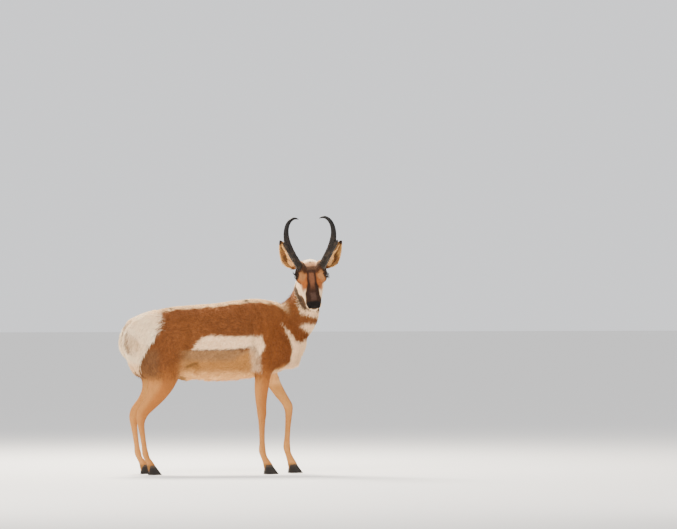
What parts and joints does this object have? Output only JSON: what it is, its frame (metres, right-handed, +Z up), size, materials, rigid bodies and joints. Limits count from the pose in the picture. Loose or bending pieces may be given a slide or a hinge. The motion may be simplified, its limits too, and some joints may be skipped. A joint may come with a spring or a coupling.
{
  "type": "pronghorn buck",
  "caption": "Life-size standing pronghorn buck in mid step, head turned to its right, with hooked pronged horns, upright ears, pale rump and slender hooved legs.",
  "frame": {"origin": "middle of the bounding box's base, on the ground between the hooves", "axes": "+X towards the chest, +Y to the animal's left, +Z up"},
  "size_m": [1.1426, 0.4024, 1.3199],
  "materials": {
    "back_coat": "short dense hair, rufous brown",
    "rump_coat": "long erectile hair, cream white",
    "neck_coat": "short dense hair, rufous with white bands",
    "head_coat": "short hair, dark mask with white cheeks",
    "tail_coat": "hair, cream with a brown streak",
    "leg_coat": "short smooth hair, tan",
    "ear_coat": "thin skin with short hair",
    "horn_sheath": "blackish keratin, ribbed below and smoother above",
    "eye_surface": "wet, very dark brown",
    "hoof_horn": "black keratin"
  },
  "bodies": {
    "root": {"torso": "back_coat", "rump": "rump_coat", "neck": "neck_coat", "head": "head_coat", "tail": "tail_coat", "leg_fore_left": "leg_coat", "leg_hind_left": "leg_coat", "horn_left": "horn_sheath", "ear_left": "ear_coat", "eye_left": "eye_surface", "hoof_fore_left_inner": "hoof_horn", "hoof_fore_left_outer": "hoof_horn", "hoof_hind_left_inner": "hoof_horn", "hoof_hind_left_outer": "hoof_horn", "leg_fore_right": "leg_coat", "leg_hind_right": "leg_coat", "horn_right": "horn_sheath", "ear_right": "ear_coat", "eye_right": "eye_surface", "hoof_fore_right_inner": "hoof_horn", "hoof_fore_right_outer": "hoof_horn", "hoof_hind_right_inner": "hoof_horn", "hoof_hind_right_outer": "hoof_horn"}
  },
  "joints": []
}
